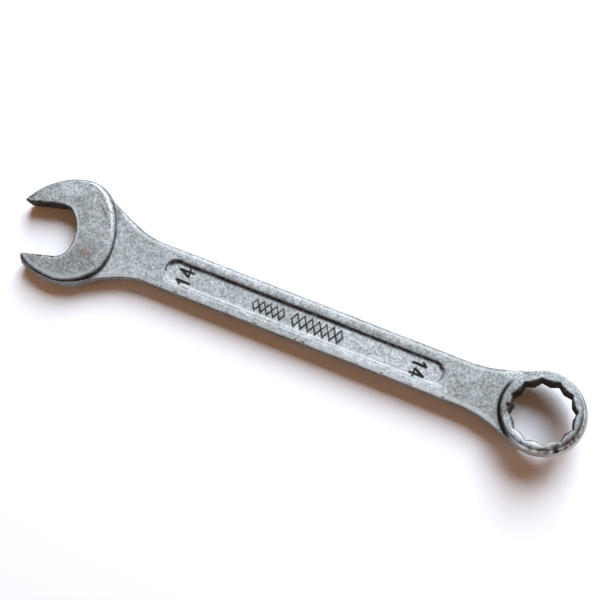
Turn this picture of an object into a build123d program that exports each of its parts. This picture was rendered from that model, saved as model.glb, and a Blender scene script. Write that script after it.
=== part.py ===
from build123d import *
import os
from math import cos, hypot, radians, sin, sqrt, tan

# Combination wrench, 14 mm: an open jaw at one end and a 12-point ring at the
# other, forged in one piece from a single steel blank.
# Origin: the centre of the open jaw, where the middle of a nut sits, on the
# forging's mid-plane. +X runs along the shank towards the ring, +Z is up and is
# the turning axis of the jaw. The upper jaw lies on the +Y side and the lower
# jaw on the -Y side. All lengths are millimetres, all angles degrees.

# ---- both ends ----
across_flats = 14.1        # opening for a 14 mm nut
draft = 7.0                # forging draft on every outer side wall
overlap = 0.1              # how far the marks' tools reach past the panel floor

# ---- shank ----
shank_y = 2.25             # the shank's centre line passes beside the jaw centre
shank_half = 5.75          # half width at the mid-plane
shank_thick = 4.7
rim_round = 0.8            # rounding along the shank's long edges
rim_start = 13.0           # edges centred short of this stay sharp
head_flare_radius = 22.0
ring_flare_radius = 30.0
neck_stop = 130.6          # the shank's end, inside the ring
# outline at the mid-plane: x, y from the centre line
shank_points = (
    (6.0, -9.0),
    (12.0, -12.8),
    (24.6, -shank_half),
    (120.6, -shank_half),
    (neck_stop, -9.4),
    (neck_stop, 9.4),
    (119.2, shank_half),
    (25.6, shank_half),
    (12.0, 11.7),
    (6.0, 9.0),
)

# ---- head round the open jaw ----
head_x = 5.1               # centre of the round outline along the shank
head_radius = 14.45
crown_centre = (9.4, -3.1)
crown_radius = 20.0        # flatter curve over the outside of the upper jaw
belly_centre = (9.86, 46.2)
belly_radius = 58.9        # nearly straight outside of the lower jaw
shoulder_centre = (-1.9, -0.35)
shoulder_radius = 20.35    # curve of the head's step down to the shank
head_blend = 6.0           # blends between the outline curves
head_thick = 6.4
head_bevel = 0.75          # bevel round the raised head
lower_swell = 0.45         # extra draft under the lower jaw: the outline drops and grows

# ---- open jaw ----
jaw_angle = 15.0           # jaw axis against the shank
jaw_floor = 8.1            # jaw centre to the bottom of the jaw
jaw_floor_radius = 9.4     # large curve at the bottom of the jaw
jaw_corner_radius = 4.2    # blend from the bottom of the jaw to each flat
jaw_edge = 0.2             # broken edge along the jaw
upper_tip = 7.25           # reach of the upper jaw past the jaw centre
lower_tip = 5.8            # reach of the lower jaw
tip_round = 1.0            # rounding inside the two jaw tips
tip_turn = 80.0            # angle the rounding turns through
mouth_splay = 0.6          # how far past its tip each side of the mouth ends
mouth_side = 5.0           # width the mouth gains on each side
mouth_stop = 20.0          # the mouth cut ends here, clear of the head

# ---- recessed panel on both faces ----
panel_start = 33.0
panel_stop = 109.9
panel_half = 3.25          # half width at the rim
panel_floor_half = 2.35    # half width at the floor
panel_depth = 0.8

# ---- ring end ----
ring_x = 135.6             # ring centre along the shank
ring_z = 2.5               # ring centre above the mid-plane
ring_tilt = 15.0           # the far side of the ring is raised
ring_radius = 10.7         # outer radius on the ring's own mid-plane
ring_high = 9.3
ring_edge = 0.4            # broken outer edge
broach_phase = 19.0        # turn of the 12 points in the ring
broach_lead_radius = 8.15  # countersink over the 12 inner corners
broach_lead = 0.85         # its depth, at 45 degrees

# ---- marks in the upper panel ----
digit_high = 3.7
digit_wide = 2.0
digit_stroke = 0.45
digit_sink = 0.25
# size number: x of its base line, y of the 1 and of the 4 from the centre line,
# and the side its reading direction points to (1 for +Y, -1 for -Y)
size_numbers = (
    (40.7, -2.0, 0.5, 1),
    (101.2, 0.35, -1.9, -1),
)
# flag of the 1: distance from its stem, height as a share of the digit's
one_flag = ((0, 1), (-0.85, 0.78), (-0.7, 0.68), (0, 0.83))
four_stem_share = 0.68     # place of the 4's stem across its width
four_bar_share = 0.3       # height of the 4's crossbar
four_foot = 1.3 * digit_stroke  # width of the 4's diagonal at the crossbar
four_notch = 0.35          # drop of the diagonal's lower edge at the stem
lozenge_rise = 0.22
lozenge_taper = 20.0
# first mark along the shank, count, pitch, length, height, offset from the centre line
lozenge_rows = (
    (58.7, 5, 1.75, 1.5, 2.5, -0.65),
    (69.6, 7, 2.0, 1.7, 3.0, -0.6),
)

# ---- worked-out values ----
half_flats = across_flats / 2
draft_inset = tan(radians(draft))      # side wall inset per millimetre of height
shank_top = shank_thick / 2
head_top = head_thick / 2
ring_top = ring_high / 2
panel_mid = (panel_start + panel_stop) / 2
panel_long = panel_stop - panel_start
panel_floor_z = shank_top - panel_depth
panel_wall = panel_half - panel_floor_half

# height, inset and swell of the head's outline at its three levels
bevel_z = head_top - head_bevel
bevel_inset = bevel_z * draft_inset
head_levels = (
    (0, 0, lower_swell),
    (bevel_z, bevel_inset, 0),
    (head_top, bevel_inset + head_bevel, 0),
)

# Jaw outline, in the jaw's own x (out of the mouth) and w (towards the lower jaw).
# Each corner blend lies inside the floor curve and touches both it and a flat.
floor_centre_x = jaw_floor_radius - jaw_floor
centre_gap = jaw_floor_radius - jaw_corner_radius
blend_centre_w = half_flats - jaw_corner_radius
flat_x = floor_centre_x - sqrt(centre_gap**2 - blend_centre_w**2)
# unit direction from the floor curve's centre to the blend's centre
lean_x = (flat_x - floor_centre_x) / centre_gap
lean_w = blend_centre_w / centre_gap
blend_x = floor_centre_x + jaw_floor_radius * lean_x
blend_w = jaw_floor_radius * lean_w
# middle of the blend, half way between that direction and the flat's normal
half_way = hypot(lean_x, 1 + lean_w)
blend_mid_x = flat_x + jaw_corner_radius * lean_x / half_way
blend_mid_w = blend_centre_w + jaw_corner_radius * (1 + lean_w) / half_way
# the end of each tip rounding, and the sides of the mouth
tip_back = tip_round * (1 - sin(radians(tip_turn)))
tip_w = half_flats + tip_round * (1 - cos(radians(tip_turn)))
mouth_w = half_flats + mouth_side

# ---- work planes ----
jaw_turn = radians(jaw_angle)
jaw_plane = Plane(
    origin=(0, 0, 0), x_dir=(-cos(jaw_turn), -sin(jaw_turn), 0), z_dir=(0, 0, 1))
tilt = radians(ring_tilt)
ring_centre = (ring_x, shank_y, ring_z)
ring_along = (cos(tilt), 0, sin(tilt))
ring_up = Plane(origin=ring_centre, x_dir=ring_along, z_dir=(-sin(tilt), 0, cos(tilt)))
ring_down = Plane(origin=ring_centre, x_dir=ring_along, z_dir=(sin(tilt), 0, -cos(tilt)))
ring_section = Plane(origin=ring_centre, x_dir=ring_along, z_dir=(0, -1, 0))

with BuildPart() as forged_wrench:
    # upper half of the shank with its flares, drafted up from the parting line
    with BuildSketch(Plane.XY) as shank_outline:
        with BuildLine():
            Polyline(*[(x, shank_y + y) for x, y in shank_points], close=True)
        make_face()
        head_corners = shank_outline.vertices().filter_by(lambda v: 23 < v.X < 27)
        fillet(head_corners, radius=head_flare_radius)
        ring_corners = shank_outline.vertices().filter_by(lambda v: 119 < v.X < 122)
        fillet(ring_corners, radius=ring_flare_radius)
    extrude(amount=shank_top, taper=draft)
    # rounded upper edge along both sides of the shank
    long_edges = forged_wrench.faces().sort_by(Axis.Z)[-1].edges().filter_by(
        lambda e: rim_start < e.center().X < neck_stop - 1)
    fillet(long_edges, radius=rim_round)

    # upper half of the head, thicker than the shank: a drafted wall, then a bevel
    for lower, upper in zip(head_levels, head_levels[1:]):
        for level, shrink, swell in (lower, upper):
            with BuildSketch(Plane.XY.offset(level)) as head_outline:
                with Locations((head_x, shank_y - swell)):
                    Circle(head_radius + swell - shrink)
                for centre, radius in (
                    (shoulder_centre, shoulder_radius),
                    (crown_centre, crown_radius),
                    (belly_centre, belly_radius - lower_swell + swell),
                ):
                    with Locations(centre):
                        Circle(radius - shrink, mode=Mode.INTERSECT)
                fillet(head_outline.vertices(), radius=head_blend - shrink)
        loft(ruled=True)

    # recessed panel in the upper face, with sloping walls
    for level, wall in ((panel_floor_z, panel_wall), (shank_top, 0)):
        with BuildSketch(Plane.XY.offset(level)):
            with Locations((panel_mid, shank_y)):
                SlotOverall(panel_long - 2 * wall, 2 * (panel_half - wall))
    loft(ruled=True, mode=Mode.SUBTRACT)

    # the lower half is the same forging mirrored at the parting line
    mirror(about=Plane.XY)

    # ring, tilted up at its far side: a turned disc with draft both ways from its
    # own mid-plane and a broken outer edge top and bottom
    with BuildSketch(ring_section):
        with BuildLine():
            rim = ring_radius - draft_inset * (ring_top - ring_edge)
            Polyline(
                (0, -ring_top),
                (rim - ring_edge, -ring_top),
                (rim, -ring_top + ring_edge),
                (ring_radius, 0),
                (rim, ring_top - ring_edge),
                (rim - ring_edge, ring_top),
                (0, ring_top),
                close=True,
            )
        make_face()
    revolve(axis=Axis(ring_up.origin, ring_up.z_dir))

    # 12-point broached hole: two hexagons, one turned 30 degrees on the other
    with BuildSketch(ring_up):
        for turn in (0, 30):
            RegularPolygon(half_flats, 6, major_radius=False, rotation=broach_phase + turn)
    extrude(amount=ring_high, both=True, mode=Mode.SUBTRACT)
    # countersinks at both ends of the hole
    for side in (ring_up, ring_down):
        with BuildSketch(side.offset(ring_top - broach_lead)):
            Circle(broach_lead_radius - broach_lead)
        with BuildSketch(side.offset(ring_top)):
            Circle(broach_lead_radius)
        loft(mode=Mode.SUBTRACT)

    # open jaw; its mouth opens out round the tip of each jaw
    with BuildSketch(jaw_plane) as jaw:
        with BuildLine():
            # bottom of the jaw
            ThreePointArc((blend_x, blend_w), (-jaw_floor, 0), (blend_x, -blend_w))
            # upper jaw: blend, flat and tip
            ThreePointArc(
                (blend_x, -blend_w), (blend_mid_x, -blend_mid_w), (flat_x, -half_flats))
            Line((flat_x, -half_flats), (upper_tip - tip_round, -half_flats))
            JernArc((upper_tip - tip_round, -half_flats), (1, 0), tip_round, -tip_turn)
            # mouth
            Polyline(
                (upper_tip - tip_back, -tip_w),
                (upper_tip + mouth_splay, -mouth_w),
                (mouth_stop, -mouth_w),
                (mouth_stop, mouth_w),
                (lower_tip + mouth_splay, mouth_w),
                (lower_tip - tip_back, tip_w),
            )
            # lower jaw: tip, flat and blend
            JernArc((lower_tip - tip_round, half_flats), (1, 0), tip_round, tip_turn)
            Line((lower_tip - tip_round, half_flats), (flat_x, half_flats))
            ThreePointArc(
                (flat_x, half_flats), (blend_mid_x, blend_mid_w), (blend_x, blend_w))
        make_face()
    extrude(amount=head_thick, both=True, mode=Mode.SUBTRACT)
    # broken edges along the jaw, top and bottom
    for side in (1, -1):
        with BuildSketch(jaw_plane.offset(side * (head_top - jaw_edge))):
            add(jaw.sketch_local)
        with BuildSketch(jaw_plane.offset(side * head_top)):
            add(jaw.sketch_local)
            offset(amount=jaw_edge, kind=Kind.INTERSECTION, mode=Mode.REPLACE)
        loft(ruled=True, mode=Mode.SUBTRACT)

    # size number sunk into the upper panel at each end, tops towards the ends
    for base_x, one_y, four_y, side in size_numbers:
        one = side * one_y
        left = side * four_y - digit_wide / 2
        stem = left + digit_wide * four_stem_share
        bar = digit_high * four_bar_share
        half = digit_stroke / 2
        with BuildSketch(Plane(
            origin=(base_x, shank_y, panel_floor_z + overlap),
            x_dir=(0, side, 0),
            z_dir=(0, 0, 1),
        )):
            # the 1: stem and flag
            with Locations((one, digit_high / 2)):
                Rectangle(digit_stroke, digit_high)
            Polygon(*[(one + x, digit_high * share) for x, share in one_flag], align=None)
            # the 4: stem, crossbar and diagonal
            with Locations((stem, digit_high / 2)):
                Rectangle(digit_stroke, digit_high)
            with Locations((left + digit_wide / 2, bar)):
                Rectangle(digit_wide, digit_stroke)
            Polygon(
                (left, bar - half),
                (left + four_foot, bar - half),
                (stem + half, digit_high - four_notch),
                (stem + half, digit_high),
                (stem - half, digit_high),
                (left, bar + half),
                align=None,
            )
        extrude(amount=-digit_sink - overlap, mode=Mode.SUBTRACT)

    # two rows of plain raised lozenges between the numbers
    for first_x, count, pitch, long, high, row_y in lozenge_rows:
        with BuildSketch(Plane.XY.offset(panel_floor_z - overlap)):
            with Locations((first_x + pitch * (count - 1) / 2, shank_y + row_y)):
                with GridLocations(pitch, 1, count, 1):
                    Polygon(
                        (-long / 2, 0), (0, -high / 2), (long / 2, 0), (0, high / 2),
                        align=None)
        extrude(amount=lozenge_rise + overlap, taper=lozenge_taper)

forged_wrench.part.label = "forged_wrench"
os.makedirs("parts", exist_ok=True)
export_step(forged_wrench.part, "parts/forged_wrench.step")
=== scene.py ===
"""A forged combination wrench lying flat along X, its thickness along Z.

The open jaw is at the -X end, its mouth facing -X and a little -Y. The ring is at the +X end and
is tilted up. "Upper" and "lower" mean towards +Y and -Y; "top" means towards +Z.
The wrench is one distance field in millimetres (negative in the metal). A mesh is drawn over the
field, textured, painted with point attributes and scaled to metres when the mesh is stored.
"""

import math

import bpy
import numpy as np
from mathutils import Matrix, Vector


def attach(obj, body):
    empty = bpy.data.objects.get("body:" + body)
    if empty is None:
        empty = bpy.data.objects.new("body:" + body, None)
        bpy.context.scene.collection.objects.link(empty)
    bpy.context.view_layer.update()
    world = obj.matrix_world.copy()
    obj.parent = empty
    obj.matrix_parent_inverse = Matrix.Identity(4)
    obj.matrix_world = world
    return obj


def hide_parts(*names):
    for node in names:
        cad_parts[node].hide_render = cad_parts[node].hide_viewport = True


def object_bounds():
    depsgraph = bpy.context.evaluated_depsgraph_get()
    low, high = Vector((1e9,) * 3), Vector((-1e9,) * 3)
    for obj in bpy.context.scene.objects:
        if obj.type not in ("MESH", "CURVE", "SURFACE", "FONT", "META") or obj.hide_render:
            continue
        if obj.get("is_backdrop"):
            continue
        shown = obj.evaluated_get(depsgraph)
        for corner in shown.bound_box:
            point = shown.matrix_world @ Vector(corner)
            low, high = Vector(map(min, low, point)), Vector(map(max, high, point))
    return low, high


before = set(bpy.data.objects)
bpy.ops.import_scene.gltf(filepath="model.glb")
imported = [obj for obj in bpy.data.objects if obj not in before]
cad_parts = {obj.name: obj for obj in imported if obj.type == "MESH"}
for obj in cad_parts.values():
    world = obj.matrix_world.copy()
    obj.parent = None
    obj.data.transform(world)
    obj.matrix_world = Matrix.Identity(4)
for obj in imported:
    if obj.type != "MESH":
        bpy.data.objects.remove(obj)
size_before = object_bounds()

# ------------------------------------------------------------------ dimensions (mm)
SHANK_Y = 2.25         # centreline of the shank, the panel and the ring
SHANK_HALF_W = 5.75
HALF_T = 2.35          # half of the shank's thickness
DRAFT = math.tan(math.radians(7.0))
DRAFT_SCALE = 0.9925   # turns an offset on a drafted wall into a distance
DIAGONAL = 0.7071      # the same for a 45 degree wall

HEAD_X = 5.1
HEAD_T = 3.2           # half of the head's thickness
HEAD_SWELL = 0.45      # growth of the head's outline at mid thickness
BEVEL_Z = 2.45         # height where the bevel round the head's face starts

PANEL_X0, PANEL_X1 = 33.0, 109.9
PANEL_HALF_W = 3.25
PANEL_Z = 1.55         # height of the panel's floor
DIGIT_DEPTH, LOZENGE_RISE = 0.27, 0.22

RING_X, RING_Z = 135.6, 2.5
RING_TILT = math.radians(15.0)
RING_R, RING_HALF_H = 10.7, 4.65
RING_ZONE_R = 10.9     # paint meant for the ring stays within this radius
HALF_FLATS = 7.05      # half of the size across flats, for the jaw and the ring

# The jaw's throat: a shallow floor arc joined to the flats by two corner arcs
JAW_ANGLE = math.radians(15.0)
JAW_COS, JAW_SIN = math.cos(JAW_ANGLE), math.sin(JAW_ANGLE)
JAW_DEPTH, FLOOR_R, CORNER_R = 8.1, 9.4, 4.2
FLOOR_U = FLOOR_R - JAW_DEPTH
CORNER_W = HALF_FLATS - CORNER_R
ARC_GAP = FLOOR_R - CORNER_R
FLAT_U = FLOOR_U - math.sqrt(ARC_GAP ** 2 - CORNER_W ** 2)
ARC_JOIN = ((FLAT_U - FLOOR_U) / ARC_GAP, CORNER_W / ARC_GAP)

# Each side of the shank: half width and end of the taper from the head, its blend,
# start of the taper to the ring, its blend, half width of the taper under the head
UPPER_SIDE = (11.7, 25.6, 2.0, 119.2, 1.5, 11.7)
LOWER_SIDE = (12.8, 24.6, 3.1, 120.6, 1.93, 12.4)

# Digit strokes in digit space: start x, y, end x, y, half width at the start and the end
ONE = [(0.0, 0.15, 0.0, 3.55, 0.20, 0.30), (0.0, 3.55, -0.78, 2.72, 0.27, 0.16)]
FOUR = [(0.36, 0.1, 0.36, 3.6, 0.17, 0.27), (-0.85, 1.12, 1.02, 1.12, 0.23, 0.17),
        (0.36, 3.6, -0.88, 1.2, 0.27, 0.20)]
# Size numbers: x of the digits' feet, shift of the one, shift of the four, facing
NUMBERS = ((40.7, -2.0, 0.5, 1), (101.2, 0.35, -1.9, -1))
# Rows of raised lozenges: first x, count, pitch, length, height, offset from the centreline
LOZENGE_ROWS = ((58.7, 5, 1.75, 1.5, 2.5, -0.65), (69.6, 7, 2.0, 1.7, 3.0, -0.6))

# Nicks, ellipsoids taken out of the surface: x, y, z, then the three radii
NICKS = [
    (110.23, -3.72, 2.3, 0.62, 0.30, 0.5), (112.66, -3.85, 2.3, 0.45, 0.28, 0.5),
    (-7.75, 5.35, 3.3, 0.5, 0.45, 0.5), (1.6, -7.1, 3.25, 0.45, 0.35, 0.4),
    (4.5, -6.35, 3.3, 0.6, 0.3, 0.35), (20.9, 5.05, 2.6, 0.5, 0.4, 0.3),
    (20.9, 2.07, 2.57, 0.35, 0.35, 0.25), (22.4, 0.7, 2.6, 0.5, 0.35, 0.28),
    (24.5, 0.35, 2.57, 0.55, 0.3, 0.25), (126.6, 0.9, 5.0, 0.5, 0.6, 0.5),
]
NICK_MARGIN = 0.8      # how far round a nick the field is touched

# Dark scratches on the head: start x, y, end x, y, half width
SCRATCHES = [
    (11.38, 11.09, 12.30, 10.00, 0.11), (12.30, 10.00, 13.92, 8.61, 0.12),
    (12.58, 10.98, 13.65, 10.52, 0.10), (13.65, 10.52, 14.71, 10.07, 0.09),
    (7.93, 14.97, 5.51, 15.20, 0.06), (7.93, 14.97, 11.11, 13.01, 0.07),
    (15.66, 7.27, 15.41, 4.59, 0.06),
]

# Brown stains on the top: x, y, reach, strength
STAINS = [
    (12.3, -2.0, 1.6, 0.8), (11.2, -3.2, 1.1, 0.55), (10.1, -1.2, 1.0, 0.5),
    (136.99, -6.94, 1.0, 0.65), (140.2, -5.3, 1.7, 0.95), (141.7, -3.6, 1.5, 0.8),
    (143.1, -1.5, 1.3, 0.7), (126.9, 0.9, 1.3, 1.0), (144.6, 1.4, 1.3, 0.8),
    (144.0, 4.0, 0.9, 0.5), (138.2, -6.6, 1.6, 0.7), (134.6, -7.4, 0.9, 0.6),
    (127.6, 4.0, 1.1, 0.45), (131.5, -6.6, 0.7, 0.5), (12.5, 4.6, 1.0, 0.15),
    (47.4, -1.6, 0.9, 0.2), (128.6, 5.5, 1.2, 0.35), (143.8, -0.2, 1.0, 0.75),
    (144.5, 3.1, 0.8, 0.6), (142.9, -2.9, 0.9, 0.7),
]

# Light and dark patches on the top: x, y, reach in x, reach in y, strength
PATCHES = [
    (4.0, 12.7, 5.5, 1.9, 0.40), (0.4, 11.4, 2.4, 1.3, 0.16), (-3.0, 8.8, 3.5, 1.6, 0.12),
    (11.8, 8.2, 2.0, 2.2, 0.24), (5.4, 10.4, 2.6, 1.1, -0.20), (9.3, 2.5, 1.0, 3.2, 0.08),
    (10.4, 13.2, 2.6, 0.8, -0.16), (13.0, -0.2, 2.6, 2.6, -0.12), (12.2, -3.6, 3.0, 2.6, -0.30),
    (6.0, -6.8, 7.5, 3.4, -0.26), (-2.5, -8.0, 4.0, 2.6, -0.06), (30.0, 1.5, 4.0, 3.0, 0.06),
    (118.0, 6.0, 4.5, 1.8, 0.14), (125.3, 8.3, 2.6, 1.9, 0.34),
]

# Grid spans along each axis: start, end, step. Finer steps cover the marks in the panel.
SPANS_X = [(-10.0, 36.6, 0.22), (36.6, 41.2, 0.13), (41.2, 57.4, 0.24), (57.4, 83.2, 0.15),
           (83.2, 100.7, 0.24), (100.7, 105.3, 0.13), (105.3, 147.3, 0.22)]
SPANS_Y = [(-14.0, -4.0, 0.22), (-4.0, 6.0, 0.15), (6.0, 17.6, 0.2)]
SPANS_Z = [(-5.3, 1.1, 0.25), (1.1, 2.6, 0.125), (2.6, 10.3, 0.22)]
SLAB = 64              # grid columns in x worked out at a time, to save memory


# ------------------------------------------------------------------ distance helpers
def smooth_max(a, b, width):
    h = np.maximum(width - np.abs(a - b), 0.0)
    return np.maximum(a, b) + h * h / (4.0 * width)


def round_and(a, b, r):
    """Intersection with a rounded edge of radius r."""
    corner = np.hypot(np.maximum(r + a, 0), np.maximum(r + b, 0))
    return np.minimum(-r, np.maximum(a, b)) + corner


def round_or(a, b, r):
    """Union with a fillet of radius r."""
    corner = np.hypot(np.maximum(r - a, 0), np.maximum(r - b, 0))
    return np.maximum(r, np.minimum(a, b)) - corner


def smooth(start, end, value):
    """Smooth step from 0 at start to 1 at end; start may be the larger."""
    t = np.clip((value - start) / (end - start), 0, 1)
    return t * t * (3 - 2 * t)


def bell(offset, width=1.0):
    return np.exp(-(offset / width) ** 2)


def tail(offset, width):
    """1 up to zero offset, then fading out."""
    return bell(np.maximum(offset, 0), width)


def band(offset, half, width):
    """1 within half of zero offset, fading out on both sides."""
    return tail(np.abs(offset) - half, width)


def lattice_hash(i, j, k, seed):
    """Value in 0..1 for a lattice point."""
    n = (i * 73856093) ^ (j * 19349663) ^ (k * 83492791) ^ (seed * 2654435761)
    n = n & 0xFFFFFFFF
    n = ((n ^ (n >> 15)) * 2246822519) & 0xFFFFFFFF
    n = ((n ^ (n >> 13)) * 3266489917) & 0xFFFFFFFF
    return ((n ^ (n >> 16)) & 0xFFFFFF) / float(0xFFFFFF)


def noise(x, y, z, seed):
    """Value noise in -1..1 with a lattice of one unit."""
    xi, yi, zi = np.floor(x), np.floor(y), np.floor(z)
    fx, fy, fz = (t * t * t * (t * (t * 6 - 15) + 10) for t in (x - xi, y - yi, z - zi))
    xi, yi, zi = (t.astype(np.int64) for t in (xi, yi, zi))
    total = 0.0
    for a in (0, 1):
        weight_x = fx if a else 1 - fx
        for b in (0, 1):
            weight_y = fy if b else 1 - fy
            for c in (0, 1):
                weight_z = fz if c else 1 - fz
                value = lattice_hash(xi + a, yi + b, zi + c, seed)
                total = total + weight_x * weight_y * weight_z * value
    return total * 2 - 1


def segment(x, y, x0, y0, x1, y1):
    """Distance to a segment, and the place along it from 0 to 1."""
    dx, dy = x1 - x0, y1 - y0
    t = np.clip(((x - x0) * dx + (y - y0) * dy) / (dx * dx + dy * dy), 0, 1)
    return np.hypot(x - x0 - t * dx, y - y0 - t * dy), t


# ------------------------------------------------------------------ outlines
def edge_line(x, x0, y0, x1, y1):
    return y0 + (x - x0) * (y1 - y0) / (x1 - x0)


def shank_half(x, side):
    """Half width of the shank at x on one side."""
    head_half, head_end, head_blend, ring_start, ring_blend, cap_half = side
    to_head = edge_line(x, 12.0, head_half, head_end, SHANK_HALF_W)
    to_ring = edge_line(x, ring_start, SHANK_HALF_W, 130.6, 9.4)
    half = smooth_max(smooth_max(to_head, SHANK_HALF_W, head_blend), to_ring, ring_blend)
    return -smooth_max(-half, -edge_line(x, 6.0, 9.0, 12.0, cap_half), 0.3)


def shank_side_distance(x, across, side):
    e = 0.05
    slope = (shank_half(x + e, side) - shank_half(x - e, side)) / (2 * e)
    return (across - shank_half(x, side)) / np.sqrt(1 + slope * slope)


def shank_outline(x, y):
    across = y - SHANK_Y
    upper = shank_side_distance(x, across, UPPER_SIDE)
    lower = shank_side_distance(x, -across, LOWER_SIDE)
    return np.maximum(np.maximum(upper, lower), np.maximum(7.0 - x, x - 131.5))


def head_outline(x, y, height):
    """The head's outline, four blended arcs, at a height above or below the middle."""
    swell = HEAD_SWELL * (1 - np.minimum(height / BEVEL_Z, 1.0))
    shrink = DRAFT * np.minimum(height, BEVEL_Z)
    d = np.hypot(x - HEAD_X, y - (SHANK_Y - swell)) - (14.45 + swell - shrink)
    d = smooth_max(d, np.hypot(x + 1.9, y + 0.35) - (20.35 - shrink), 0.8)
    d = smooth_max(d, np.hypot(x - 9.4, y + 3.1) - (20.0 - shrink), 0.6)
    lower = np.hypot(x - 9.86, y - 46.2) - (58.9 - shrink - HEAD_SWELL + swell)
    return smooth_max(d, lower, 0.5)


def panel_outline(x, y):
    middle = (PANEL_X0 + PANEL_X1) / 2
    half = (PANEL_X1 - PANEL_X0) / 2 - PANEL_HALF_W
    return np.hypot(np.maximum(np.abs(x - middle) - half, 0), y - SHANK_Y) - PANEL_HALF_W


def jaw_metal(x, y):
    """Negative in the metal round the open jaw, positive in the mouth."""
    # u runs out of the mouth; w runs across it, negative towards the upper jaw
    u, w = -(x * JAW_COS + y * JAW_SIN), x * JAW_SIN - y * JAW_COS
    width = np.abs(w)
    flats = width - HALF_FLATS
    floor = np.hypot(u - FLOOR_U, w) - FLOOR_R
    corner = np.hypot(u - FLAT_U, width - CORNER_W) - CORNER_R
    past_floor = ARC_JOIN[0] * width - ARC_JOIN[1] * (u - FLOOR_U) < 0
    hollow = np.where(u > FLAT_U, flats, np.where(past_floor, corner, floor))
    upper_tip = (u - (7.25 + (-w - HALF_FLATS) * 0.15)) * 0.98
    lower_tip = (u - (5.8 + (w - HALF_FLATS) * 0.15)) * 0.98
    return round_and(-hollow, np.where(w < 0, upper_tip, lower_tip), 1.0)


def number_strokes():
    """Strokes of both size numbers: digit x runs along facing * Y, digit y along -facing * X."""
    strokes = []
    for foot_x, one_shift, four_shift, facing in NUMBERS:
        for shift, digit in ((facing * one_shift, ONE), (facing * four_shift, FOUR)):
            for x0, y0, x1, y1, start_half, end_half in digit:
                strokes.append((
                    foot_x - facing * y0, SHANK_Y + facing * (x0 + shift),
                    foot_x - facing * y1, SHANK_Y + facing * (x1 + shift),
                    start_half, end_half))
    return strokes


STROKES = number_strokes()
# Lozenge centre x, y, half length, half height
LOZENGES = [(first + pitch * i, SHANK_Y + offset, length / 2, height / 2)
            for first, count, pitch, length, height, offset in LOZENGE_ROWS
            for i in range(count)]


def digit_distance(x, y):
    best = 9.0
    for *ends, start_half, end_half in STROKES:
        distance, t = segment(x, y, *ends)
        best = np.minimum(best, distance - (start_half + t * (end_half - start_half)))
    return best + 0.05 * noise(x * 2.1, y * 2.1, 3.0, 5)


def lozenge_distance(x, y):
    best = 9.0
    for cx, cy, a, b in LOZENGES:
        d = (np.abs(x - cx) / a + np.abs(y - cy) / b - 1) * a * b / math.hypot(a, b)
        best = np.minimum(best, d)
    return best


# ------------------------------------------------------------------ nicks along the edges
def add_edge_nicks():
    rng = np.random.default_rng(14)
    inset = 0.42       # from the shank's outline to its rounded top edge

    def radii(*ranges):
        return tuple(rng.uniform(low, high) for low, high in ranges)

    def shank_x():
        return rng.uniform(27, 118)

    for i in range(54):
        x = shank_x()
        y = SHANK_Y - shank_half(x, LOWER_SIDE) + inset
        z = 2.45 + rng.uniform(-0.1, 0.1)
        NICKS.append((x, y, z, *radii((0.18, 0.7), (0.12, 0.26), (0.14, 0.34))))
    for i in range(16):
        x = shank_x()
        y = SHANK_Y + shank_half(x, UPPER_SIDE) - inset
        NICKS.append((x, y, 2.5, *radii((0.2, 0.8), (0.1, 0.2), (0.12, 0.22))))
    # round the jaw's flats and throat, on both faces
    for i in range(30):
        u = rng.uniform(-5.0, 5.6)
        w = (1 if i % 2 else -1) * (HALF_FLATS + 0.02)
        if u < FLAT_U:
            a = math.radians(rng.uniform(-48, 48))
            u, w = FLOOR_U - FLOOR_R * math.cos(a), FLOOR_R * math.sin(a)
        x, y = -u * JAW_COS + w * JAW_SIN, -u * JAW_SIN - w * JAW_COS
        z = 3.32 * (1 if i % 3 else -1)
        NICKS.append((x, y, z, *radii((0.2, 0.5), (0.14, 0.34), (0.16, 0.32))))
    # both edges of the underside
    for i in range(26):
        x = shank_x()
        y = SHANK_Y + (-1 if i % 2 else 1) * (SHANK_HALF_W - inset)
        NICKS.append((x, y, -2.48, *radii((0.2, 0.8), (0.12, 0.24), (0.12, 0.26))))


add_edge_nicks()


def nick_ratio(x, y, z, nick):
    """Distance from the nick's centre, 1 on its surface."""
    nx, ny, nz, rx, ry, rz = nick
    return np.sqrt(((x - nx) / rx) ** 2 + ((y - ny) / ry) ** 2 + ((z - nz) / rz) ** 2)


def cut_nick(d, x, y, z, nick):
    return round_and(d, (1 - nick_ratio(x, y, z, nick)) * min(nick[3:]), 0.05)


# ------------------------------------------------------------------ the forging
def shank_solid(x, y, height):
    across = y - SHANK_Y
    side = (shank_outline(x, y) + DRAFT * height) * DRAFT_SCALE
    # the rims beside the panel are slightly rounded beads
    along = smooth(31.0, 36.0, x) * (1 - smooth(107.0, 112.0, x))
    bead = np.minimum(np.maximum((np.abs(across) - 4.5) / 1.2, -1.05) ** 2, 1.1)
    top = height - (HALF_T - 0.07 * along * bead - 0.02 * (across / 5.0) ** 2)
    return round_and(side, top, 0.52 + 0.1 * smooth(-2.0, 2.0, across))


def head_solid(x, y, height):
    """The head, with a bevel round its raised face."""
    outline = head_outline(x, y, height)
    face = height - HEAD_T
    bevel = (outline + np.maximum(height, BEVEL_Z) - BEVEL_Z) * DIAGONAL
    return np.maximum(round_and(outline * DRAFT_SCALE, face, 0.3), round_and(bevel, face, 0.35))


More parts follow.
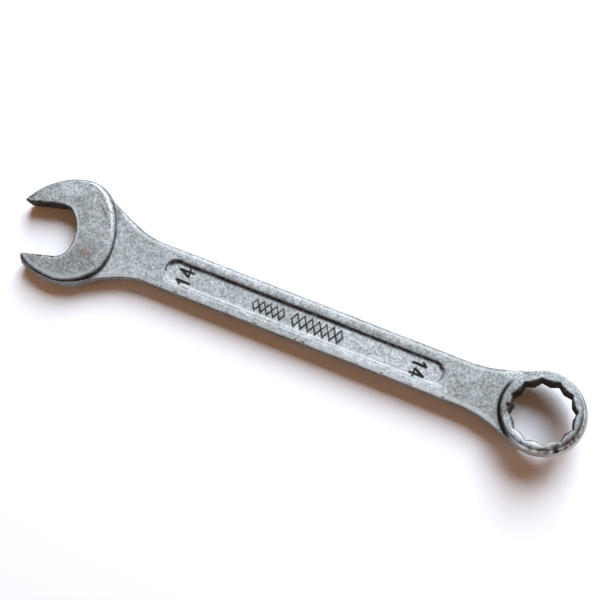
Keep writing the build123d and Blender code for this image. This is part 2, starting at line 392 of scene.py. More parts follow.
def cut_panel(d, x, y, height):
    """Sink the panel; its upper wall leans more and has a softer edge."""
    across = y - SHANK_Y
    outline = panel_outline(x, y)
    upper = smooth(-1.2, 1.2, across)
    slope = 0.42 + 0.38 * upper
    wall = (outline + 0.12 * upper + slope * (HALF_T - height)) / np.sqrt(1 + slope * slope)
    cut = round_and(wall, PANEL_Z - height, 0.16)
    d = round_and(d, -cut, 0.12 + 0.26 * upper)
    # a fine die line beside the lower rim
    off_line = np.abs(outline - 0.22) + np.where(across < -1.0, 0, 3.0)
    line = np.hypot(off_line, height - HALF_T + 0.02) - 0.11
    return np.maximum(d, -line)


def ring_frame(x, y, z):
    """Coordinates in the tilted ring: two across it, then the height along its axis."""
    dx, dz = x - RING_X, z - RING_Z
    tilt_cos, tilt_sin = math.cos(RING_TILT), math.sin(RING_TILT)
    return dx * tilt_cos + dz * tilt_sin, y - SHANK_Y, dz * tilt_cos - dx * tilt_sin


def hexagon(u, v, turn):
    angles = [math.radians(turn + 30 + 60 * k) for k in range(3)]
    spans = [np.abs(u * math.cos(a) + v * math.sin(a)) for a in angles]
    return np.maximum.reduce(spans) - HALF_FLATS


def add_ring(d, x, y, z):
    """Join the ring and cut its twelve-point hole and countersinks."""
    u, v, h = ring_frame(x, y, z)
    radius, height = np.hypot(u, v), np.abs(h)
    wall = (radius - RING_R + DRAFT * height) * DRAFT_SCALE
    d = round_or(d, round_and(wall, height - RING_HALF_H, 0.5), 0.75)
    star = np.minimum(hexagon(u, v, 19.0), hexagon(u, v, 49.0))
    star = star - 0.32 * smooth(RING_HALF_H - 0.9, RING_HALF_H + 0.1, height)
    countersink = (radius - 7.95 + (RING_HALF_H - height)) * DIAGONAL
    hole = np.minimum(star, countersink)
    return np.where(x - RING_X > -13, round_and(d, -hole, 0.14), d)


def forging(x, y, z):
    """Distance to the forging's surface; x, y and z broadcast together."""
    height = np.abs(z)
    d = round_or(shank_solid(x, y, height), head_solid(x, y, height), 0.45)
    d = cut_panel(d, x, y, height)
    d = add_ring(d, x, y, z)
    return np.where(x < 22, round_and(d, jaw_metal(x, y), 0.2), d)


def add_marks(d, x, y, z):
    """Cut the size numbers and raise the lozenges in the top panel."""
    near = (x > 36) & (x < 105) & (z > 0.6) & (np.abs(y - SHANK_Y) < 3.4)
    digits = digit_distance(x, y) + np.maximum(PANEL_Z - z, 0) * 0.35
    cut = round_and(digits, (PANEL_Z - DIGIT_DEPTH) - z, 0.05)
    marked = round_and(d, -cut, 0.05)
    lozenges = lozenge_distance(x, y) + np.maximum(z - PANEL_Z, 0) * 0.36
    raised = round_and(lozenges, z - (PANEL_Z + LOZENGE_RISE), 0.07)
    return np.where(near, round_or(marked, raised, 0.08), d)


def solid(x, y, z):
    """The whole surface at scattered points."""
    d = add_marks(forging(x, y, z), x, y, z)
    for nick in NICKS:
        nx, ny, nz, rx, ry, rz = nick
        near = ((np.abs(x - nx) < rx + NICK_MARGIN) & (np.abs(y - ny) < ry + NICK_MARGIN)
                & (np.abs(z - nz) < rz + NICK_MARGIN))
        if near.any():
            d[near] = cut_nick(d[near], x[near], y[near], z[near], nick)
    return d


# ------------------------------------------------------------------ grid and surface
def grid_axis(spans):
    places = [spans[0][0]]
    for start, end, step in spans:
        n = max(1, int(round((end - start) / step)))
        places += list(start + (end - start) * (np.arange(n) + 1) / n)
    return np.array(places)


GRID = tuple(grid_axis(spans) for spans in (SPANS_X, SPANS_Y, SPANS_Z))


def grid_field():
    grid_x, grid_y, grid_z = GRID
    out = np.empty([len(line) for line in GRID], np.float32)
    for start in range(0, len(grid_x), SLAB):
        points = np.ix_(grid_x[start:start + SLAB], grid_y, grid_z)
        out[start:start + SLAB] = add_marks(forging(*points), *points)
    # nicks only touch small boxes
    for nick in NICKS:
        spans = tuple(
            slice(*np.searchsorted(line, [c - r - NICK_MARGIN, c + r + NICK_MARGIN]))
            for line, c, r in zip(GRID, nick[:3], nick[3:]))
        points = np.ix_(*(line[span] for line, span in zip(GRID, spans)))
        out[spans] = cut_nick(out[spans], *points, nick)
    return out


def cell_vertices(field, cells):
    """One vertex per cell: the mean of the crossings on its twelve edges."""
    total = np.zeros((len(cells), 3))
    count = np.zeros(len(cells))
    for ax in range(3):
        others = [q for q in range(3) if q != ax]
        for a in (0, 1):
            for b in (0, 1):
                start = [0, 0, 0]
                start[others[0]], start[others[1]] = a, b
                end = list(start)
                end[ax] = 1
                f0 = field[tuple((cells + start).T)].astype(float)
                f1 = field[tuple((cells + end).T)].astype(float)
                crossed = (f0 < 0) != (f1 < 0)
                t = np.where(crossed, f0 / np.where(crossed, f0 - f1, 1), 0)
                for q in range(3):
                    low = GRID[q][cells[:, q] + start[q]]
                    high = GRID[q][cells[:, q] + end[q]]
                    total[:, q] += np.where(crossed, low + t * (high - low), 0)
                count += crossed
    return total / count[:, None]


def edge_quads(inside, ids):
    """One quad per crossed grid edge, joining the four cells round it."""
    quads = []
    for ax in range(3):
        others = [q for q in range(3) if q != ax]
        starts, ends = [slice(1, -1)] * 3, [slice(1, -1)] * 3
        starts[ax], ends[ax] = slice(0, -1), slice(1, None)
        start_in, end_in = inside[tuple(starts)], inside[tuple(ends)]
        step0, step1 = np.zeros(3, int), np.zeros(3, int)
        step0[others[0]], step1[others[1]] = 1, 1
        for sign in (True, False):
            edges = np.argwhere((start_in == sign) & (end_in != sign))
            edges[:, others] += 1
            corners = [ids[tuple((edges - step).T)]
                       for step in (step0 + step1, step1, np.zeros(3, int), step0)]
            flip = (ax == 1) != sign
            quads.append(np.stack(corners[::-1] if flip else corners, 1))
    return np.concatenate(quads)


def surface_nets(field):
    inside = field < 0
    nx, ny, nz = (n - 1 for n in field.shape)
    corners_in = sum(inside[a:nx + a, b:ny + b, c:nz + c].astype(np.int8)
                     for a in (0, 1) for b in (0, 1) for c in (0, 1))
    active = (corners_in > 0) & (corners_in < 8)
    cells = np.argwhere(active)
    ids = np.full(active.shape, -1, np.int64)
    ids[active] = np.arange(len(cells))
    return cell_vertices(field, cells), edge_quads(inside, ids)


def settle(points, rounds=3):
    """Pull the points onto the exact surface; also returns their normals."""
    e = 0.01
    for _ in range(rounds):
        d = solid(*points.T)
        slopes = [solid(*(points + e * np.eye(3)[q]).T) - d for q in range(3)]
        gradient = np.stack(slopes, 1) / e
        steepness = np.maximum((gradient * gradient).sum(1), 0.25)
        move = -(d / steepness)[:, None] * gradient
        length = np.linalg.norm(move, axis=1, keepdims=True)
        points = points + move * np.minimum(1, 0.1 / np.maximum(length, 1e-9))
    length = np.linalg.norm(gradient, axis=1, keepdims=True)
    return points, gradient / np.maximum(length, 1e-9)


verts, quads = surface_nets(grid_field())
verts, normals = settle(verts)

# ------------------------------------------------------------------ fields on the vertices
# The texture and paint functions below all read these arrays, one value per vertex.
x, y, z = verts.T


def texture(size_x, size_y, size_z, seed):
    """Noise over the wrench with the given lattice sizes."""
    return noise(x / size_x, y / size_y, z / size_z, seed)


height = np.abs(z)
across = y - SHANK_Y                   # positive on the upper side
facing = np.abs(normals[:, 2])         # 1 on the faces, 0 on the walls
jaw = jaw_metal(x, y)
head_edge = head_outline(x, y, 2.6)
shank_edge = shank_outline(x, y)
panel_edge = panel_outline(x, y)
ring_u, _, ring_h = ring_frame(x, y, z)
ring_r = np.hypot(ring_u, across)
# angle round the ring: 0 towards the shank, 90 on the upper side
signed_angle = np.degrees(np.arctan2(across, -(x - RING_X)))
ring_angle = (signed_angle + 360.0) % 360.0

pits = texture(0.85, 0.75, 0.8, 3)
ragged = 0.5 + 0.5 * texture(0.7, 0.7, 0.7, 11)
streak = 0.5 + 0.5 * texture(3.1, 1.2, 1.0, 12)
# worn part of the countersink, on the lower side
wiped = smooth(222, 240, ring_angle) * smooth(330, 312, ring_angle)
in_sink = (ring_r < 8.65) & (ring_h > RING_HALF_H - 1.2)


def surface_push():
    """How far the forging and handling texture moves each vertex outwards."""
    ring_end = smooth(118, 126, x)
    lump = 0.022 * texture(7.3, 6.1, 5.0, 1) + 0.009 * texture(2.4, 2.1, 2.2, 2)
    fine = 0.006 * texture(0.6, 0.6, 0.6, 4) - 0.008 * smooth(0.6, 0.95, pits)
    push = lump + fine * (1 + 0.8 * ring_end) + 0.012 * ring_end * texture(1.9, 1.7, 1.9, 6)
    shank_wall = (facing < 0.5) & (x > 20)
    push += np.where(shank_wall, 0.03 * texture(1.5, 3.0, 1.1, 7), 0)
    # the flash line left at the parting plane, trimmed and ragged
    flash = bell(z, 0.22) * shank_wall * (x < 124)
    push += flash * (0.13 + 0.04 * noise(x / 2.2, y / 2.2, 0.0, 8))
    # the jaw's walls and the ring's hole are smoother
    push *= 1 - 0.75 * smooth(-0.35, -0.1, jaw) * (x < 22)
    in_hole = ((x - RING_X) ** 2 + (y - SHANK_Y) ** 2 < 8.3 ** 2) & (facing < 0.9)
    return np.where(in_hole, push * 0.3, push)


# x, y and z keep the places from before the push
verts = verts + normals * surface_push()[:, None]

# ------------------------------------------------------------------ paint masks
# Numbers in the mask terms are strengths in 0..1, places and widths in mm, or ring angles.
# This mask holds real dirt together with painted shade in creases, in recesses and along the
# throat.
dirt_and_shade = np.zeros(len(x))
stain = np.zeros(len(x))
# This mask holds painted highlights and reflections on edges and walls, with some wear.
highlight_and_wear = np.zeros(len(x))


def lay(mask, value, where=True):
    """Raise the mask to the value, clipped to 0..1, where the condition holds."""
    np.maximum(mask, np.where(where, np.clip(value, 0, 1), 0), out=mask)


def darken_head():
    # painted shade with dirt in the crease at the foot of the head's step, wider towards the lower
    # side
    wide = 0.07 + 0.11 * smooth(9, 4, y) + 0.18 * smooth(4, -5, y)
    foot = band(head_edge - 0.24, wide, 0.17) * (0.85 + 0.15 * smooth(6, -6, y))
    lay(dirt_and_shade, foot * 1.15 * smooth(9.5, 13.5, x) * (0.8 + 0.2 * ragged), height > 2.0)
    # jaw walls
    lay(dirt_and_shade, 0.78 + 0.2 * ragged, (x < 22) & (jaw > -0.25) & (height < 3.05))
    blotches = 0.5 + 0.5 * texture(0.9, 0.9, 1.0, 13)
    lay(dirt_and_shade, 0.75 * smooth(0.55, 0.9, blotches), (x < 22) & (jaw > -0.3))
    # painted shade along the throat's edge, and the line where the top face meets its bevel
    lay(dirt_and_shade, 0.9, (x > 3.5) & (x < 20) & (jaw > -0.30))
    bevel_line = 0.5 * bell(head_edge + 0.95, 0.13) * (0.25 + 0.75 * ragged)
    lay(dirt_and_shade, bevel_line * smooth(-7, -2, y), (z > 2.9) & (x < 19))
    # outside of the lower jaw: a dark band under the bevel
    under = 1.15 * bell(z - 2.5, 0.45) * (0.75 + 0.25 * ragged) * smooth(19, 15.5, x)
    lay(dirt_and_shade, under, (x < 19) & (y < 0) & (z > 1.2) & (head_edge > -0.75))
    # the head's outer walls
    lay(dirt_and_shade, 0.35 + 0.2 * streak, (x < 19) & (head_edge > -0.2) & (z < 1.6) & (facing < 0.6))
    lay(dirt_and_shade, 0.3 + 0.2 * streak, (x < 20) & (y > 3) & (z > -2) & (z < 2.4) & (facing < 0.5))
    for *ends, half in SCRATCHES:
        distance, _ = segment(x, y, *ends)
        lay(dirt_and_shade, 0.9 * smooth(half * 2.0, half * 0.6, distance), z > 0.5)


def darken_panel():
    # upper wall: painted shade plus dirt
    wall = (1.15 * tail(panel_edge + 0.72, 0.50 - 0.15 * smooth(80, 90, x))
            * tail(-1.02 - panel_edge, 0.42))
    lay(dirt_and_shade, wall * smooth(-0.2, 1.6, across) * (0.72 + 0.28 * ragged), height < 2.6)
    # the ends near the ring and near the head
    ring_end = 0.9 * bell(panel_edge + 0.45, 0.2) * (0.6 + 0.4 * ragged)
    lay(dirt_and_shade, ring_end, (x > 106) & (across > -2.2))
    lay(dirt_and_shade, 0.95 * bell(panel_edge + 0.3, 0.2), (x < 37) & (across > -0.9))
    # die line
    lay(dirt_and_shade, 0.75 * bell(panel_edge - 0.24, 0.11) * (0.55 + 0.45 * streak), across < -1)
    # numbers and lozenges
    top_side = z > 0.5
    lay(dirt_and_shade, smooth(0.24, 0.04, digit_distance(x, y)), top_side)
    lozenge = lozenge_distance(x, y)
    lay(dirt_and_shade, 1.1 * band(lozenge - 0.12, 0.12, 0.14) * (0.8 + 0.2 * ragged), top_side)
    lay(dirt_and_shade, 0.36 * smooth(0.75, 0.1, lozenge) * (0.7 + 0.3 * ragged), top_side)


def darken_ring():
    # painted shade with dirt at the foot of the ring on the shank, deepest on the lower side
    near_shank = smooth(62, 30, np.abs(signed_angle + 12))
    crease_r = 10.47 - 0.15 * smooth(-8, -40, signed_angle)
    crease = ((0.5 + 0.6 * smooth(45, 10, signed_angle)) * near_shank
              * band(ring_r - crease_r, 0.38, 0.2))
    lay(dirt_and_shade, crease, (ring_r > 9.6) & (x < 134) & (z > 1.9))
    # a dark line on the edge's lower and far side that spreads in over the face
    edge_r = 9.42 + 0.32 * smooth(280, 332, ring_angle) + 0.08 * bell(ring_angle - 178, 22)
    spread = 0.22 + 0.58 * smooth(145, 172, ring_angle) * smooth(330, 296, ring_angle)
    power = 0.68 * smooth(116, 146, ring_angle) + 0.37 * smooth(155, 174, ring_angle)
    power = np.where(ring_angle < 45, 0.0, power) * smooth(359, 338, ring_angle)
    gap = ring_r - edge_r
    on_face = (ring_h > 2.6) & (ring_r > 8)
    lay(dirt_and_shade, 1.3 * power * bell(gap, 0.13), on_face)
    lay(dirt_and_shade, power * bell(gap, np.where(gap < 0, spread, 0.2)) * (0.75 + 0.25 * ragged), on_face)
    # hole walls and the countersink, wiped clean on its lower side
    in_hole = (((ring_r < 8.0) & (ring_h < RING_HALF_H - 0.05))
               | ((ring_r < 8.65) & (ring_h < RING_HALF_H - 0.1)))
    lay(dirt_and_shade, (0.80 + 0.14 * ragged) * np.where(in_sink, 1 - wiped, 1), in_hole)


def darken_shank_edge():
    lay(dirt_and_shade, 0.25 + 0.25 * streak, (x > 19) & (x < 127) & (shank_edge > -0.22) & (z < 1.9))
    lay(dirt_and_shade, 0.85 * bell(z - 1.62, 0.22) * (0.6 + 0.4 * ragged),
        (x > 17) & (x < 127) & (across < 0) & (shank_edge > -0.5))
    lay(dirt_and_shade, 0.7 * (0.5 + 0.5 * ragged),
        (x > 17) & (x < 127) & (height < 0.35) & (shank_edge > -0.3))


def dirty_nicks_and_pits():
    for nick in NICKS:
        # the nicks where the shank leaves the head hold less dirt
        power = 0.45 if 20 < nick[0] < 25 and abs(nick[1] - 3) < 3 else 0.9
        lay(dirt_and_shade, power * smooth(1.35, 0.95, nick_ratio(x, y, z, nick)))
    lay(dirt_and_shade, 0.22 * smooth(0.66, 0.95, pits), facing > 0.5)


def add_stains():
    """Brown stains; those on the ring also hold specks of dirt."""
    on_top = (z > 0) * np.where(x > 122, smooth(2.4, 4.1, ring_h), 1.0)
    specks = smooth(0.42, 0.62, texture(0.7, 0.7, 0.7, 15) * 0.5 + 0.5)
    for cx, cy, reach, power in STAINS:
        r = np.hypot(x - cx, y - cy) / reach
        lay(stain, np.minimum(1.5 * power * bell(r) * (0.3 + 0.9 * ragged), 1) * on_top)
        if cx > 120:
            speck_power = (0.85 if cx < 139 else 1.25) * power
            lay(dirt_and_shade, speck_power * np.exp(-r * r * 1.2) * specks * on_top)
    lay(stain, 0.75, (ring_r < 8.35) & (ring_h < RING_HALF_H - 0.9))
    lay(stain, 0.35 * dirt_and_shade * (0.5 + 0.5 * texture(2.0, 2.0, 2.0, 14)))


def ring_wall(low_h, high_h):
    """Upper part of the ring's outer wall, fading in between two heights."""
    return smooth(low_h, high_h, ring_h) * smooth(9.62, 9.8, ring_r)


def paint_shade():
    """Tone patches from handling and the strokes of the finishing wheel on the head, with painted
    light and shade on some faces and edges.
    """
    on_head = smooth(2.7, 3.0, height) * (x < 20)
    shade = 0.47 + 0.11 * texture(5.2, 4.1, 9.0, 21) + 0.09 * texture(1.9, 1.3, 3.0, 22)

    def tint(value, where=True):
        np.add(shade, np.where(where, value, 0), out=shade)

    tint(0.06 * texture(0.48, 0.45, 0.48, 23) + 0.09 * (1 - on_head) * texture(1.6, 0.42, 0.6, 24))
    # wheel strokes run round the head's centre
    arc = np.arctan2(y - SHANK_Y, x - HEAD_X) * 11.0
    radius = np.hypot(x - HEAD_X, y - SHANK_Y)
    tint(on_head * (0.15 * noise(arc / 0.45, radius / 2.2, z / 9.0, 25) - 0.11))
    for cx, cy, reach_x, reach_y, power in PATCHES:
        tint(power * np.exp(-(((x - cx) / reach_x) ** 2 + ((y - cy) / reach_y) ** 2)), z > 1)
    # painted shade on the outer bevel of the upper jaw and on the shoulder beyond the bright edge
    tint(-0.24 * smooth(-1.5, -1.1, head_edge), (x < 8) & (y > 6) & (z > 1.0))
    tint(-0.34 * smooth(-0.5, -0.25, head_edge) * smooth(7, 9, x),
         (x >= 7) & (x < 17) & (y > 6) & (z > 0.6))
    # panel floor, lifted and brighter towards the ring, with painted light near the lower wall and
    # painted shade towards the upper wall
    tint(0.13 + 0.19 * smooth(60, 90, x) + 0.12 * smooth(-1.6, -2.6, across)
         - 0.12 * smooth(0.4, 1.6, across), (panel_edge < -0.75) & (height < 2.2))
    # upper rim
    rim = (0.24 - 0.11 * smooth(78, 90, x)) * smooth(-0.4, 0.3, panel_edge)
    tint(rim * smooth(27, 36, x) * (1 - smooth(106, 116, x)),
         (x > 24) & (x < 124) & (panel_edge > -0.7) & (across > 1.5) & (z > 1.0))
    tint(-0.05 * smooth(112, 122, x))
    # edge of the lower jaw's top face
    tint(0.25 * bell(head_edge + 1.02, 0.28) * smooth(-4, -8, y), (z > 2.9) & (x < 19))
    # lower rim: painted reflection, stronger towards the ring
    tint(0.14 + 0.22 * smooth(76, 90, x),
         (x > 20) & (z > 1.5) & (panel_edge > 0.0) & (across < -2.5) & (x < 112))
    # overall lift, outside the neck's hollow beside the ring
    in_ring = ring_r < RING_ZONE_R
    tint(np.where((x < 119) | in_ring, 0.12 + 0.14 * texture(1.3, 1.3, 1.0, 26), 0.05))
    # the ring's face, then a painted reflection on the lower and far part of its wall, then
    # painted shade on the upper part
    tint(0.5 * smooth(215, 245, ring_angle) * smooth(322, 300, ring_angle)
         + 0.28 * smooth(42, 62, ring_angle) * smooth(150, 125, ring_angle)
         - 0.30 * smooth(32, 15, np.abs(signed_angle)), (ring_h > 3.4) & in_ring)
    tint(0.45 * ring_wall(-4.2, 2.6) * smooth(140, 175, ring_angle)
         * smooth(325, 300, ring_angle), in_ring & (ring_angle > 60))
    tint(-0.34 * smooth(-4.0, 2.0, ring_h) * smooth(9.3, 9.7, ring_r)
         * smooth(35, 55, ring_angle) * smooth(165, 135, ring_angle), in_ring)
    # painted shade on the upper outer edge of the shank
    tint(-0.34 * smooth(-0.95, -0.65, shank_edge), (x > 22) & (x < 124) & (across > 0) & (z > 0.8))
    return shade


def brighten_edges():
    """Bright edges where the surface turns sharply outwards, and bright walls: mostly painted
    highlights and reflections, with some wear.
    """
    # ring: face edge, countersink, and a painted reflection on the outer wall
    lay(highlight_and_wear, 0.1 * bell(ring_r - 9.75, 0.25), ring_h > 2.5)
    lay(highlight_and_wear, 0.95 * wiped, in_sink | ((ring_r < 8.7) & (ring_h > 4.0)))
    lay(highlight_and_wear, (0.7 + 0.15 * streak) * ring_wall(-4.4, 2.6) * smooth(145, 180, ring_angle)
        * smooth(325, 300, ring_angle), (ring_r < RING_ZONE_R) & (ring_angle > 60))
    # head: step, with a painted highlight on its bevel; lower jaw's face edge; throat, with a
    # painted highlight
    step_power = 0.15 + 0.8 * smooth(3.5, 8.5, y) + 0.6 * smooth(-3, -6, y)
    lay(highlight_and_wear, step_power * bell(head_edge + 0.75, 0.3), (x > 6) & (height > 2.2))
    lay(highlight_and_wear, 0.9 * bell(head_edge + 1.05, 0.3) * smooth(-5, -8, y), (z > 2.9) & (x < 19))
    lay(highlight_and_wear, 0.8 * bell(jaw + 0.55, 0.25), (z > 2.9) & (x > 2) & (x < 20))
    # shank: painted highlight on the upper edge, painted reflection on the lower edge
    on_shank = (x > 18) & (x < 126) & (height > 1.4)
    lay(highlight_and_wear, 0.75 * bell(shank_edge + 1.0, 0.24), on_shank & (across > 0))
    ringward = smooth(76, 90, x)
    lower_edge = (0.55 + 0.4 * ringward) * bell(shank_edge + 0.75, 0.38 + 0.15 * ringward)
    lay(highlight_and_wear, lower_edge, on_shank & (across <= 0))
    lay(highlight_and_wear, 0.7 * bell(shank_edge + 0.5, 0.25), (x > 17) & (x < 126) & (across < 0) & (z > 1.8))
    # painted light on both sides of the panel's lower rim
    rim = np.maximum(0.72 * bell(panel_edge + 0.52, 0.36), 0.6 * bell(panel_edge - 0.55, 0.2))
    lay(highlight_and_wear, smooth(-0.6, -2.0, across) * rim, height < 2.6)
    # painted reflection on the lower outer walls
    lay(highlight_and_wear, 0.5 + 0.35 * smooth(0.45, 0.8, streak),
        (across < 0) & (facing < 0.5) & (height < 1.5) & (ring_h < 1.0))


darken_head()
darken_panel()
darken_ring()
darken_shank_edge()
dirty_nicks_and_pits()
add_stains()
brighten_edges()
highlight_and_wear *= 1 - 0.8 * dirt_and_shade
MASKS = (("dirt_and_shade", dirt_and_shade), ("stain", stain), ("highlight_and_wear", highlight_and_wear), ("shade", paint_shade()))


# ------------------------------------------------------------------ mesh
def build_mesh():
    mesh = bpy.data.meshes.new("wrench_forging")
    mesh.vertices.add(len(verts))
    mesh.vertices.foreach_set("co", (verts / 1000.0).astype(np.float32).ravel())
    mesh.loops.add(len(quads) * 4)
    mesh.loops.foreach_set("vertex_index", quads.astype(np.int32).ravel())
    mesh.polygons.add(len(quads))
    mesh.polygons.foreach_set("loop_start", (np.arange(len(quads)) * 4).astype(np.int32))
    mesh.update(calc_edges=True)
    for name, values in MASKS:
        layer = mesh.attributes.new(name=name, type="FLOAT", domain="POINT")
        layer.data.foreach_set("value", np.clip(values, 0, 1).astype(np.float32))
    mesh.validate()
    mesh.polygons.foreach_set("use_smooth", np.ones(len(mesh.polygons), bool))
    mesh.update()
    return mesh


def link_object(name, data):
    thing = bpy.data.objects.new(name, data)
    bpy.context.scene.collection.objects.link(thing)
    return thing


# ------------------------------------------------------------------ materials
class ShaderTree:
    """The emptied node tree of a material or a world."""

    def __init__(self, owner):
        owner.use_nodes = True
        self.nodes, self.links = owner.node_tree.nodes, owner.node_tree.links
        self.nodes.clear()

    def add(self, kind, inputs=(), **settings):
        """Add a node. Inputs go by name or in order; a socket is linked, a value is set."""
        node = self.nodes.new("ShaderNode" + kind)
        for name, value in settings.items():
            setattr(node, name, value)
        pairs = inputs.items() if isinstance(inputs, dict) else enumerate(inputs)
        for key, value in pairs:
            if isinstance(value, bpy.types.NodeSocket):
                self.links.new(value, node.inputs[key])
            else:
                node.inputs[key].default_value = value
        return node

    def math(self, operation, a, b, clamp=False):
        return self.add("Math", (a, b), operation=operation, use_clamp=clamp).outputs[0]

    def remap(self, value, source, target, **settings):
        return self.add("MapRange", (value, *source, *target), **settings).outputs[0]

    def mix_colour(self, factor, a, b):
        return self.add("Mix", {0: factor, 6: a, 7: b}, data_type="RGBA").outputs[2]

    def mix_shader(self, factor, a, b):
        return self.add("MixShader", (factor, a.outputs[0], b.outputs[0]))


def forged_steel():
    material = bpy.data.materials.new("forged_steel")
    tree = ShaderTree(material)
    math_node, remap, mix = tree.math, tree.remap, tree.mix_colour
    position = tree.add("TexCoord").outputs["Object"]

    def noise_node(scale, detail, roughness, vector=position):
        inputs = {"Vector": vector, "Scale": scale, "Detail": detail, "Roughness": roughness}
        return tree.add("TexNoise", inputs).outputs["Fac"]

    def mask(name):
        return tree.add("Attribute", attribute_name=name).outputs["Fac"]

    grain = noise_node(scale=3600, detail=2, roughness=0.6)
    mottle = noise_node(scale=1500, detail=3, roughness=0.7)
    glint_specks = noise_node(scale=2300, detail=1, roughness=0.5)
    cloud = noise_node(scale=110, detail=5, roughness=0.65)
    stretched = tree.add("Mapping", {"Vector": position, "Scale": (0.3, 1.0, 1.0)}).outputs[0]
    brush = noise_node(scale=1900, detail=2, roughness=0.5, vector=stretched)
    dirt_and_shade_mask, stain_mask, highlight_and_wear_mask = mask("dirt_and_shade"), mask("stain"), mask("highlight_and_wear")

    # colour: mottled steel, shaded, then grain, painted glints, painted highlights and reflections
    # with some wear, stains, and dirt with painted shade over it
    dark_steel, light_steel = (0.28, 0.30, 0.315, 1), (0.71, 0.765, 0.80, 1)
    base = mix(remap(mottle, (0.36, 0.64), (0, 1)), dark_steel, light_steel)
    base = mix(remap(cloud, (0.35, 0.68), (0, 0.25)), base, (0.45, 0.475, 0.505, 1))
    tone = remap(mask("shade"), (0.0, 1.0), (0.45, 1.55))
    base = tree.add("VectorMath", {0: base, 3: tone}, operation="SCALE").outputs[0]
    base = mix(remap(grain, (0.5, 0.75), (0, 0.5)), base, (0.27, 0.275, 0.275, 1))
    # painted glints: near-white specks
    base = mix(remap(glint_specks, (0.60, 0.70), (0, 0.5)), base, (0.92, 0.95, 0.97, 1))
    # painted highlights and reflections, with some wear
    base = mix(math_node("MULTIPLY", highlight_and_wear_mask, 0.9), base, (0.88, 0.90, 0.91, 1))
    dark_rust, light_rust = (0.10, 0.05, 0.028, 1), (0.27, 0.16, 0.10, 1)
    rust = mix(remap(mottle, (0.35, 0.65), (0, 1)), dark_rust, light_rust)
    base = mix(math_node("MULTIPLY", stain_mask, 0.85), base, rust)
    # dirt and painted shade, near black
    base = mix(math_node("MULTIPLY", dirt_and_shade_mask, 0.97), base, (0.022, 0.018, 0.015, 1))

    # roughness rises with grain, dirt with painted shade, and stain
    rough = remap(mottle, (0.25, 0.75), (0.34, 0.50))
    rough = math_node("ADD", rough, remap(grain, (0.3, 0.8), (-0.04, 0.08)))
    rough = math_node("ADD", rough, math_node("MULTIPLY", dirt_and_shade_mask, 0.3))
    rough = math_node("ADD", rough, math_node("MULTIPLY", stain_mask, 0.15), clamp=True)
    # dirt with painted shade, and stain, are not metallic
    cover = math_node("MAXIMUM", dirt_and_shade_mask, math_node("MULTIPLY", stain_mask, 0.8))
    metal = math_node("SUBTRACT", 1.0, math_node("MULTIPLY", cover, 0.9), clamp=True)
    # specular fades under the dirt and the painted shade
    undarkened = math_node("SUBTRACT", 1.0, dirt_and_shade_mask, clamp=True)

    relief = math_node("ADD", math_node("MULTIPLY", grain, 0.45),
                       math_node("MULTIPLY", mottle, 0.8))
    relief = math_node("ADD", relief, math_node("MULTIPLY", brush, 0.35))
    bump = tree.add("Bump", {"Strength": 0.8, "Distance": 0.00009, "Height": relief})

    steel = tree.add("BsdfPrincipled", {
        "Specular IOR Level": math_node("MULTIPLY", undarkened, 0.5),
        "Base Color": base,
        "Roughness": rough,
        "Metallic": metal,
        "Normal": bump.outputs[0],
    })
    tree.add("OutputMaterial", {"Surface": steel.outputs[0]})
    return material


def paper_floor():
    """White paper, darker in reflections, fading into the white backdrop far from the wrench."""
    material = bpy.data.materials.new("paper_floor")
    tree = ShaderTree(material)
    paper = tree.add("BsdfDiffuse", {"Color": (0.9, 0.9, 0.9, 1)})
    reflected = tree.add("BsdfDiffuse", {"Color": (0.42, 0.39, 0.36, 1)})
    ray = tree.add("LightPath").outputs
    sheet = tree.mix_shader(ray["Is Glossy Ray"], paper, reflected)
    position = tree.add("TexCoord").outputs["Object"]
    away = tree.add("VectorMath", (position,), operation="LENGTH").outputs["Value"]
    fade = tree.remap(away, (0.20, 0.42), (0.0, 1.0), interpolation_type="SMOOTHSTEP")
    seen_fade = tree.math("MULTIPLY", fade, ray["Is Camera Ray"])
    glow = tree.add("Emission", {"Color": (1.0, 1.0, 1.0, 1)})
    blend = tree.mix_shader(seen_fade, sheet, glow)
    tree.add("OutputMaterial", {"Surface": blend.outputs[0]})
    return material


wrench = link_object("wrench_forging", build_mesh())
wrench.data.materials.append(forged_steel())
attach(wrench, "root")
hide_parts("forged_wrench")

# ------------------------------------------------------------------ floor
MIDDLE_X = 70.0        # mm, about the middle of the wrench's length


def resting_line():
    """Height at MIDDLE_X and slope of the line the wrench rests on, from its lower XZ hull."""
    hull = []
    for px, pz in verts[np.argsort(verts[:, 0])][:, [0, 2]]:
        while len(hull) > 1:
            (x0, z0), (x1, z1) = hull[-2:]
            if (x1 - x0) * (pz - z1) > (z1 - z0) * (px - x1):
                break
            hull.pop()
        hull.append((px, pz))
    for (x0, z0), (x1, z1) in zip(hull, hull[1:]):
        if x0 <= MIDDLE_X <= x1:
            slope = (z1 - z0) / (x1 - x0)
            return z0 + slope * (MIDDLE_X - x0), slope


rest_height, rest_slope = resting_line()
FLOOR_GAP = 0.00003    # m
bpy.ops.mesh.primitive_plane_add(
    size=6.0,
    location=(MIDDLE_X / 1000.0, 0.0, rest_height / 1000.0 - FLOOR_GAP),
    rotation=(0.0, -math.atan(rest_slope), 0.0))
floor = bpy.context.object
floor.name = "floor"
floor.data.materials.append(paper_floor())
floor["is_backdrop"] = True


# ------------------------------------------------------------------ camera and lights (m)
def pose(right, up, back, place):
    return Matrix((*zip(right, up, back, place), (0, 0, 0, 1)))


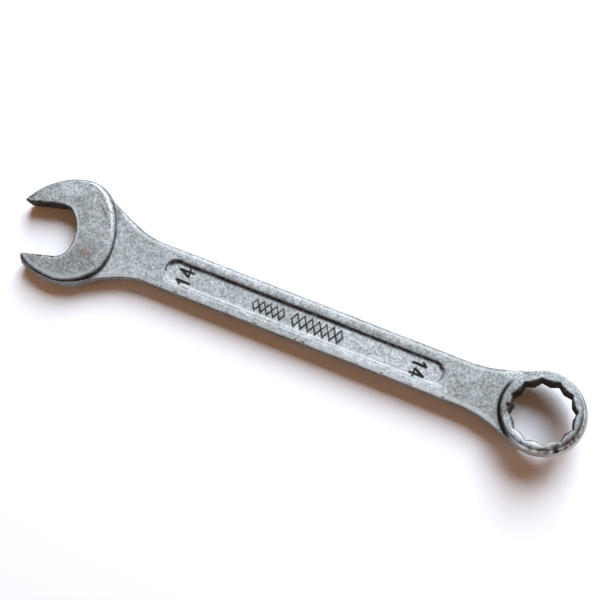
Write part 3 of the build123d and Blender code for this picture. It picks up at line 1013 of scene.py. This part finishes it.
camera = link_object("camera", bpy.data.cameras.new("camera"))
camera.matrix_world = pose(
    right=(0.92827755, 0.37061900, -0.03069772),
    up=(-0.36148699, 0.91862156, 0.15956689),
    back=(0.08733811, -0.13702554, 0.98670971),
    place=(0.0880823, -0.0233351, 0.2193513))
camera.data.sensor_width = 36.0
camera.data.lens = 51.527
camera.data.clip_start = 0.005
camera.data.clip_end = 20.0
bpy.context.scene.camera = camera

LIGHT_AIM = np.array((MIDDLE_X / 1000.0, 0.0, 0.0))
LIGHT_ELEVATION = math.radians(41)     # both lights stand on the +Y side
LIGHT_DISTANCE = 0.75


def area_light(name, size, power, colour):
    back = np.array((0.0, math.cos(LIGHT_ELEVATION), math.sin(LIGHT_ELEVATION)))
    right = np.cross((0, 0, 1), back)
    right = right / np.linalg.norm(right)
    lamp = bpy.data.lights.new(name, "AREA")
    lamp.shape = "SQUARE"
    lamp.size = size
    lamp.energy = power
    lamp.color = colour
    light = link_object(name, lamp)
    light.matrix_world = pose(right, np.cross(back, right), back,
                              LIGHT_AIM + back * LIGHT_DISTANCE)
    return light


key = area_light("key", size=0.56, power=13.6, colour=(0.76, 0.87, 1.0))
key.visible_glossy = False
sheen = area_light("sheen", size=0.42, power=2.2, colour=(0.95, 0.98, 1.0))
sheen.visible_diffuse = False

# ------------------------------------------------------------------ world
# Brightness of the reflected studio from -Y (0) to +Y (1): place, value
STUDIO_STOPS = ((0.0, 0.95), (0.12, 0.75), (0.24, 0.28), (0.36, 0.40),
                (0.5, 0.60), (0.64, 0.70), (0.82, 1.3), (1.0, 2.0))


def studio_world():
    """Warm fill for diffuse light, a banded studio in reflections, white when seen directly."""
    world = bpy.data.worlds.new("studio")
    bpy.context.scene.world = world
    tree = ShaderTree(world)
    fill = tree.add("Background", {"Color": (1.0, 0.50, 0.25, 1), "Strength": 0.26})
    direction = tree.add("TexCoord").outputs["Generated"]
    towards_y = tree.add("VectorMath", (direction, (0.0, 1.0, 0.0)), operation="DOT_PRODUCT")
    place = tree.remap(towards_y.outputs["Value"], (-1.0, 1.0), (0.0, 1.0))
    ramp = tree.add("ValToRGB", (place,))
    elements = ramp.color_ramp.elements
    elements[0].position = 0.0
    elements[1].position = 1.0
    for position, _ in STUDIO_STOPS[1:-1]:
        elements.new(position)
    for element, (position, value) in zip(elements, STUDIO_STOPS):
        element.position = position
        element.color = (value * 0.965, value, value * 1.025, 1)
    studio = tree.add("Background", {"Color": ramp.outputs[0], "Strength": 1.0})
    ray = tree.add("LightPath").outputs
    lit = tree.mix_shader(ray["Is Glossy Ray"], fill, studio)
    white = tree.add("Background", {"Color": (1.0, 1.0, 1.0, 1), "Strength": 1.0})
    seen = tree.mix_shader(ray["Is Camera Ray"], lit, white)
    tree.add("OutputWorld", {"Surface": seen.outputs[0]})


studio_world()

view = bpy.context.scene.view_settings
view.view_transform = "Standard"
view.look = "None"
view.exposure = 0.0
view.gamma = 1.0

size_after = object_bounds()


def plain(value):
    """The value in types that JSON can store."""
    if isinstance(value, dict):
        return {k: plain(v) for k, v in value.items()}
    if isinstance(value, (int, float)):
        return float(value)
    if value is None or isinstance(value, str):
        return value
    return [plain(v) for v in value]


{"before": plain(size_before), "after": plain(size_after)}
